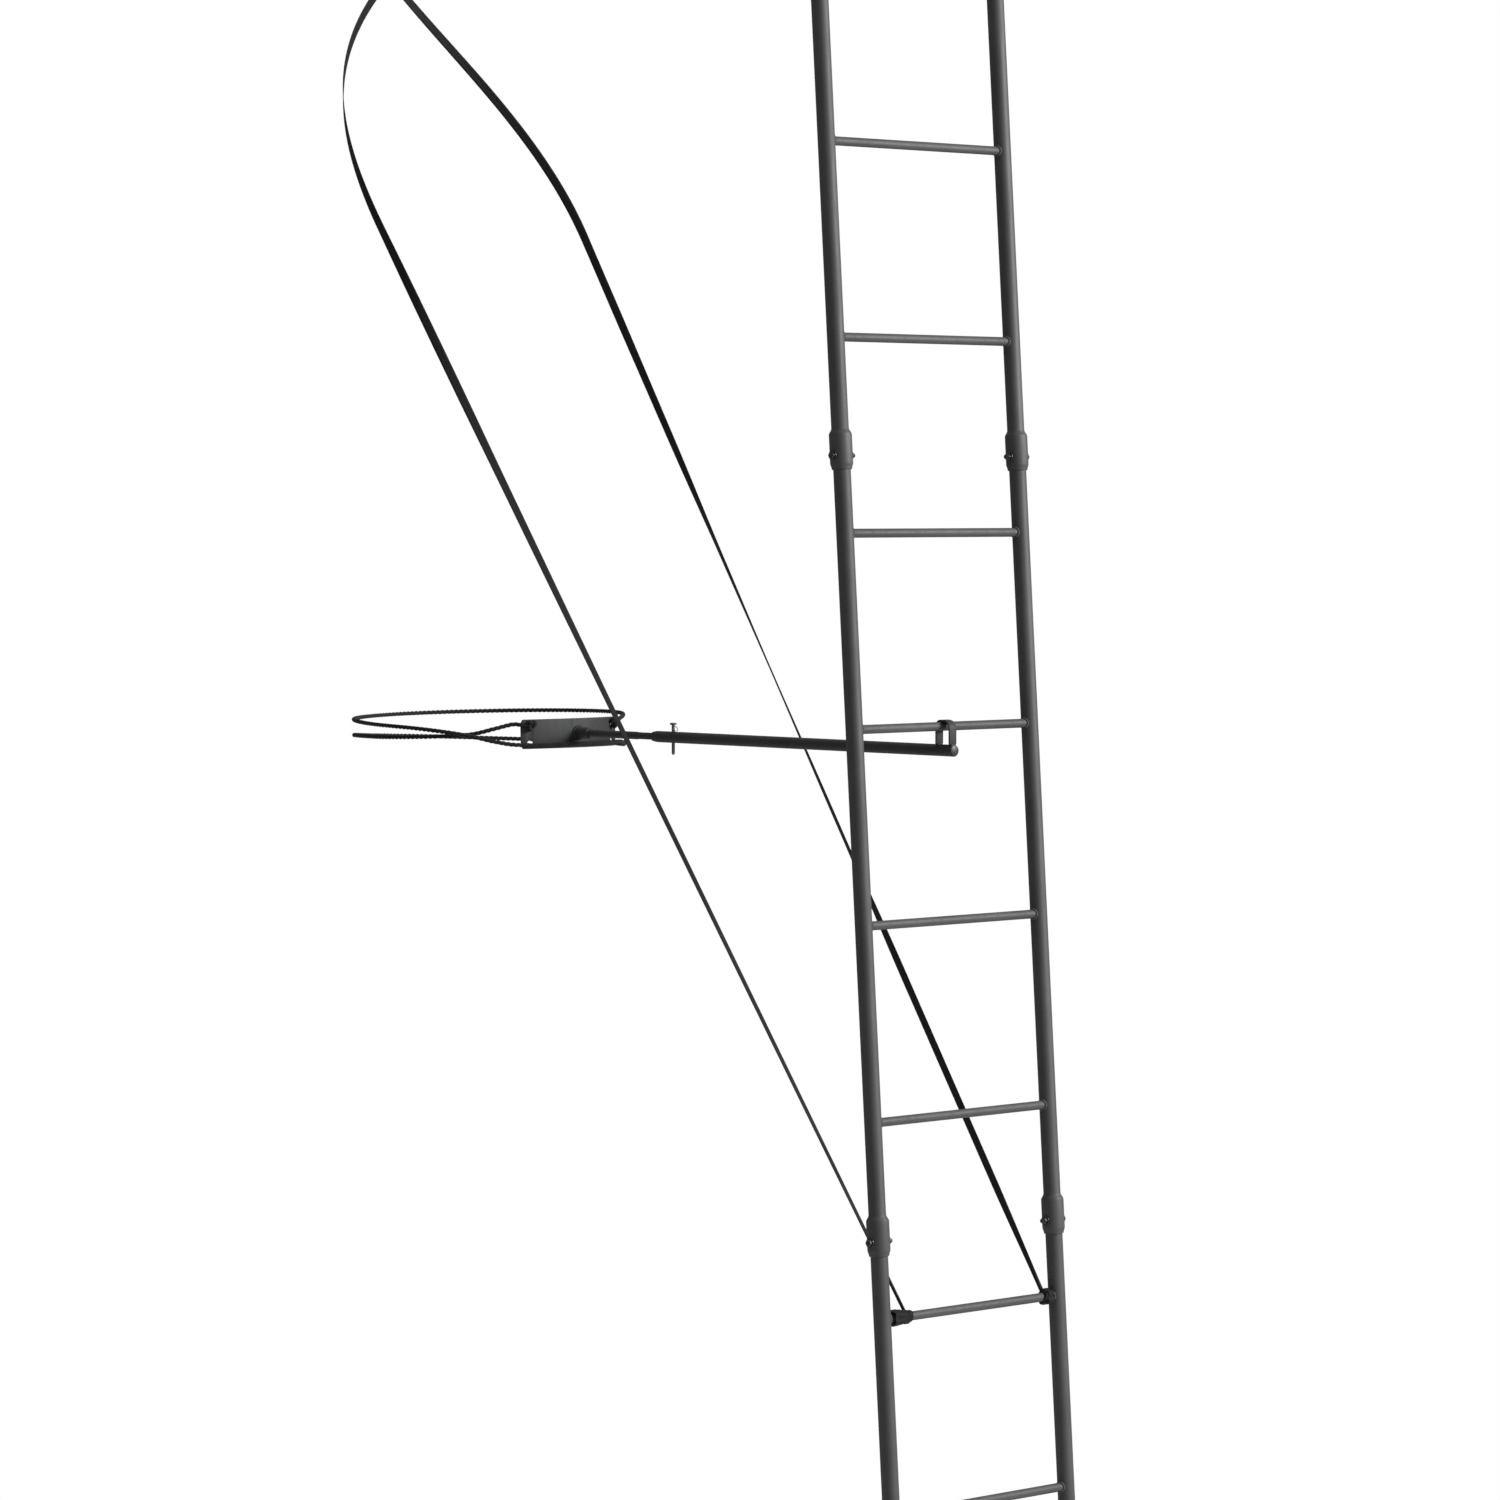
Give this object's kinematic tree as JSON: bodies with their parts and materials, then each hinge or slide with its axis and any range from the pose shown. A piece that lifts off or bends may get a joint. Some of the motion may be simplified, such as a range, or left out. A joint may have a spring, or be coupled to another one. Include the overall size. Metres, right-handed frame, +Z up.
{
  "type": "ladder tree stand",
  "caption": "Sectional ladder stand for a tree: grated platform, folding seat, flip-up shooting rail, telescoping brace to the trunk and crossed stabiliser straps.",
  "frame": {"origin": "on the trunk's axis at ground level", "axes": "+Z up the trunk; the climber faces +Y, towards the trunk, with their left hand towards -X"},
  "size_m": [0.6097, 1.7555, 5.2545],
  "materials": {
    "frame_paint": "satin charcoal powder coat",
    "brace_paint": "satin dark enamel, rubbed at the edges",
    "hardware": "blackened zinc",
    "webbing": "black polyester webbing",
    "rope": "dark laid rope",
    "foam": "matt black sleeve foam",
    "seat_cloth": "woven seat cloth"
  },
  "bodies": {
    "root": {"left_foot": "frame_paint", "right_foot": "frame_paint", "left_rail_lower": "frame_paint", "left_rail_middle": "frame_paint", "left_rail_upper": "frame_paint", "left_joint_bolt_lower": "hardware", "left_joint_bolt_middle": "hardware", "right_rail_lower": "frame_paint", "right_rail_middle": "frame_paint", "right_rail_upper": "frame_paint", "right_joint_bolt_lower": "hardware", "right_joint_bolt_middle": "hardware", "rung_01": "frame_paint", "rung_02": "frame_paint", "rung_03": "frame_paint", "rung_04": "frame_paint", "rung_05": "frame_paint", "rung_06": "frame_paint", "rung_07": "frame_paint", "rung_08": "frame_paint", "rung_09": "frame_paint", "rung_10": "frame_paint", "rung_11": "frame_paint", "rung_12": "frame_paint", "left_side_tube": "frame_paint", "right_side_tube": "frame_paint", "front_cross_tube": "frame_paint", "middle_cross_tube": "frame_paint", "rear_cross_tube": "frame_paint", "deck_grate": "frame_paint", "platform_trunk_rest": "frame_paint", "left_stay": "frame_paint", "right_stay": "frame_paint", "left_stay_bolt": "hardware", "right_stay_bolt": "hardware", "left_upright": "frame_paint", "right_upright": "frame_paint", "left_seat_arm": "frame_paint", "right_seat_arm": "frame_paint", "seat_hinge_rod": "hardware", "left_rail_pivot_bolt": "hardware", "right_rail_pivot_bolt": "hardware", "upper_trunk_rest": "frame_paint", "upper_strap": "webbing", "ratchet_tab": "webbing", "ratchet_frame": "hardware", "left_stabiliser_strap": "webbing", "right_stabiliser_strap": "webbing"},
    "brace_outer": {"brace_saddle": "brace_paint", "brace_outer_tube": "brace_paint"},
    "brace_inner": {"brace_inner_tube": "brace_paint", "trunk_claw": "brace_paint", "trunk_rope": "rope"},
    "brace_pin": {"brace_pin": "hardware"},
    "seat": {"seat_pan": "frame_paint", "seat_cushion": "seat_cloth"},
    "shooting_rail": {"shooting_rail": "frame_paint", "shooting_rail_foam": "foam"},
    "ratchet_handle": {"ratchet_handle": "hardware"},
    "ratchet_spool": {"ratchet_spool": "hardware"}
  },
  "joints": [
    {"name": "brace_swing", "type": "hinge", "parent": "root", "child": "brace_outer", "pos_m": [0, -1.29205, 2.33695], "axis": [1, 0, 0], "range_deg": [-75, 60], "deforming": ["trunk_rope"]},
    {"name": "brace_slide", "type": "slide", "parent": "brace_outer", "child": "brace_inner", "axis": [0, 0.9996, 0.0279], "range_m": [-0.1, 0.2], "deforming": ["trunk_rope"]},
    {"name": "brace_pin_pull", "type": "slide", "parent": "brace_outer", "child": "brace_pin", "axis": [0, -0.0279, 0.9996], "range_m": [0, 0.07]},
    {"name": "seat_fold", "type": "hinge", "parent": "root", "child": "seat", "pos_m": [0, -0.405, 4.76082], "axis": [-1, 0, 0], "range_deg": [0, 85]},
    {"name": "shooting_rail_flip", "type": "hinge", "parent": "root", "child": "shooting_rail", "pos_m": [0, -0.345, 5.20952], "axis": [-1, 0, 0], "range_deg": [0, 90]},
    {"name": "ratchet_lever", "type": "hinge", "parent": "root", "child": "ratchet_handle", "pos_m": [-0.23035, -0.16, 5.12452], "axis": [0, 0, -1], "range_deg": [0, 110]},
    {"name": "ratchet_spool_turn", "type": "hinge", "parent": "root", "child": "ratchet_spool", "pos_m": [-0.23035, -0.16, 5.12452], "axis": [0, 0, -1], "range_deg": [0, 110]}
  ],
  "couplings": [
    {"joint": "ratchet_spool_turn", "follows": "ratchet_lever", "ratio": 1}
  ]
}
